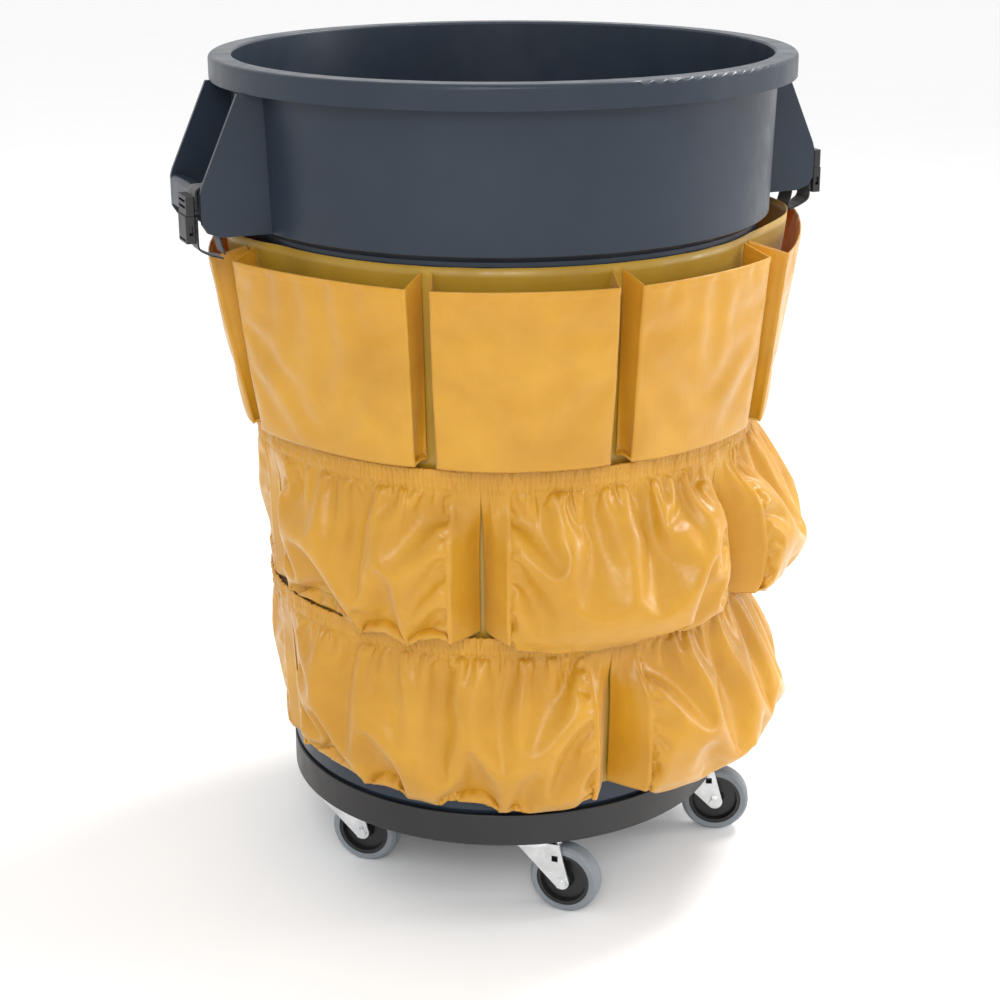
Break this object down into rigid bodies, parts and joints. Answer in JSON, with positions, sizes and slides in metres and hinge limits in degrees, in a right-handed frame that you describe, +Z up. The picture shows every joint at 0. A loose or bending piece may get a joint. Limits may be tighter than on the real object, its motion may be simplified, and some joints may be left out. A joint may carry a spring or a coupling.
{
  "type": "cleaning caddy",
  "caption": "Round refuse container on a swivel-caster dolly, wearing a yellow multi-pocket cleaning caddy bag that is buckled to its handles.",
  "frame": {"origin": "on the floor, under the tub's axis", "axes": "+Z up, +X and -X through the two handles, -Y to the front, where the straps lie"},
  "size_m": [0.7186, 0.6138, 0.8855],
  "materials": {
    "slate_plastic": "satin moulded polyethylene",
    "black_plastic": "satin moulded",
    "zinc_steel": "zinc plated",
    "grey_tread": "non-marking grey",
    "yellow_cloth": "coated woven nylon",
    "black_webbing": "flat woven"
  },
  "bodies": {
    "dolly": {"dolly_tray": "black_plastic", "caster_plates": "zinc_steel", "plate_rivets": "zinc_steel", "king_pins": "zinc_steel"},
    "caster_1": {"caster_fork_1": "zinc_steel", "caster_axle_1": "zinc_steel"},
    "wheel_1": {"wheel_hub_1": "black_plastic", "wheel_tyre_1": "grey_tread"},
    "caster_2": {"caster_fork_2": "zinc_steel", "caster_axle_2": "zinc_steel"},
    "wheel_2": {"wheel_hub_2": "black_plastic", "wheel_tyre_2": "grey_tread"},
    "caster_3": {"caster_fork_3": "zinc_steel", "caster_axle_3": "zinc_steel"},
    "wheel_3": {"wheel_hub_3": "black_plastic", "wheel_tyre_3": "grey_tread"},
    "caster_4": {"caster_fork_4": "zinc_steel", "caster_axle_4": "zinc_steel"},
    "wheel_4": {"wheel_hub_4": "black_plastic", "wheel_tyre_4": "grey_tread"},
    "caster_5": {"caster_fork_5": "zinc_steel", "caster_axle_5": "zinc_steel"},
    "wheel_5": {"wheel_hub_5": "black_plastic", "wheel_tyre_5": "grey_tread"},
    "plug_left": {"buckle_plug_left": "black_plastic"},
    "prong_front_left": {"buckle_prong_front_left": "black_plastic"},
    "prong_rear_left": {"buckle_prong_rear_left": "black_plastic"},
    "plug_right": {"buckle_plug_right": "black_plastic"},
    "prong_front_right": {"buckle_prong_front_right": "black_plastic"},
    "prong_rear_right": {"buckle_prong_rear_right": "black_plastic"},
    "container": {"tub": "slate_plastic", "tub_rim": "slate_plastic", "bag_sleeve": "yellow_cloth", "pocket_upper_1": "yellow_cloth", "pocket_upper_2": "yellow_cloth", "pocket_upper_3": "yellow_cloth", "pocket_upper_4": "yellow_cloth", "pocket_upper_5": "yellow_cloth", "pocket_upper_6": "yellow_cloth", "pocket_upper_7": "yellow_cloth", "pocket_upper_8": "yellow_cloth", "pocket_middle_1": "yellow_cloth", "pocket_middle_2": "yellow_cloth", "pocket_middle_3": "yellow_cloth", "pocket_middle_4": "yellow_cloth", "pocket_middle_5": "yellow_cloth", "pocket_middle_6": "yellow_cloth", "pocket_lower_1": "yellow_cloth", "pocket_lower_2": "yellow_cloth", "pocket_lower_3": "yellow_cloth", "pocket_lower_4": "yellow_cloth", "handle_left": "slate_plastic", "strap_upper_left": "black_webbing", "strap_lower_left": "black_webbing", "buckle_socket_left": "black_plastic", "handle_right": "slate_plastic", "strap_upper_right": "black_webbing", "strap_lower_right": "black_webbing", "buckle_socket_right": "black_plastic"}
  },
  "joints": [
    {"name": "caster_1_swivel", "type": "hinge", "parent": "dolly", "child": "caster_1", "pos_m": [-0.05135, -0.20445, 0.0812], "axis": [0, 0, 1], "continuous": true},
    {"name": "wheel_1_roll", "type": "hinge", "parent": "caster_1", "child": "wheel_1", "pos_m": [-0.02685, -0.22845, 0.0381], "axis": [0.6997, 0.7145, 0], "continuous": true},
    {"name": "caster_2_swivel", "type": "hinge", "parent": "dolly", "child": "caster_2", "pos_m": [0.17857, -0.11202, 0.0812], "axis": [0, 0, 1], "continuous": true},
    {"name": "wheel_2_roll", "type": "hinge", "parent": "caster_2", "child": "wheel_2", "pos_m": [0.20886, -0.12812, 0.0381], "axis": [0.4695, 0.8829, 0], "continuous": true},
    {"name": "caster_3_swivel", "type": "hinge", "parent": "dolly", "child": "caster_3", "pos_m": [0.16172, 0.13522, 0.0812], "axis": [0, 0, 1], "continuous": true},
    {"name": "wheel_3_roll", "type": "hinge", "parent": "caster_3", "child": "wheel_3", "pos_m": [0.13201, 0.15237, 0.0381], "axis": [-0.5, -0.866, 0], "continuous": true},
    {"name": "caster_4_swivel", "type": "hinge", "parent": "dolly", "child": "caster_4", "pos_m": [-0.07863, 0.19559, 0.0812], "axis": [0, 0, 1], "continuous": true},
    {"name": "wheel_4_roll", "type": "hinge", "parent": "caster_4", "child": "wheel_4", "pos_m": [-0.10528, 0.21717, 0.0381], "axis": [-0.6293, -0.7771, 0], "continuous": true},
    {"name": "caster_5_swivel", "type": "hinge", "parent": "dolly", "child": "caster_5", "pos_m": [-0.21031, -0.01434, 0.0812], "axis": [0, 0, 1], "continuous": true},
    {"name": "wheel_5_roll", "type": "hinge", "parent": "caster_5", "child": "wheel_5", "pos_m": [-0.18523, -0.03773, 0.0381], "axis": [0.682, 0.7314, 0], "continuous": true},
    {"name": "container_lift", "type": "slide", "parent": "dolly", "child": "container", "axis": [0, 0, 1], "range_m": [0, 0.12]},
    {"name": "buckle_left_release", "type": "slide", "parent": "container", "child": "plug_left", "axis": [0, 0, 1], "range_m": [0, 0.024]},
    {"name": "prong_front_left_squeeze", "type": "hinge", "parent": "plug_left", "child": "prong_front_left", "pos_m": [-0.3543, -0.05, 0.7451], "axis": [1, 0, 0], "range_deg": [0, 6], "stiffness_Nm_per_rad": 0.02},
    {"name": "prong_rear_left_squeeze", "type": "hinge", "parent": "plug_left", "child": "prong_rear_left", "pos_m": [-0.3543, -0.026, 0.7451], "axis": [1, 0, 0], "range_deg": [-6, 0], "stiffness_Nm_per_rad": 0.02},
    {"name": "buckle_right_release", "type": "slide", "parent": "container", "child": "plug_right", "axis": [0, 0, 1], "range_m": [0, 0.024]},
    {"name": "prong_front_right_squeeze", "type": "hinge", "parent": "plug_right", "child": "prong_front_right", "pos_m": [0.3543, -0.05, 0.7451], "axis": [1, 0, 0], "range_deg": [0, 6], "stiffness_Nm_per_rad": 0.02},
    {"name": "prong_rear_right_squeeze", "type": "hinge", "parent": "plug_right", "child": "prong_rear_right", "pos_m": [0.3543, -0.026, 0.7451], "axis": [1, 0, 0], "range_deg": [-6, 0], "stiffness_Nm_per_rad": 0.02}
  ],
  "couplings": [
    {"joint": "prong_rear_left_squeeze", "follows": "prong_front_left_squeeze", "ratio": -1},
    {"joint": "prong_rear_right_squeeze", "follows": "prong_front_right_squeeze", "ratio": -1}
  ]
}
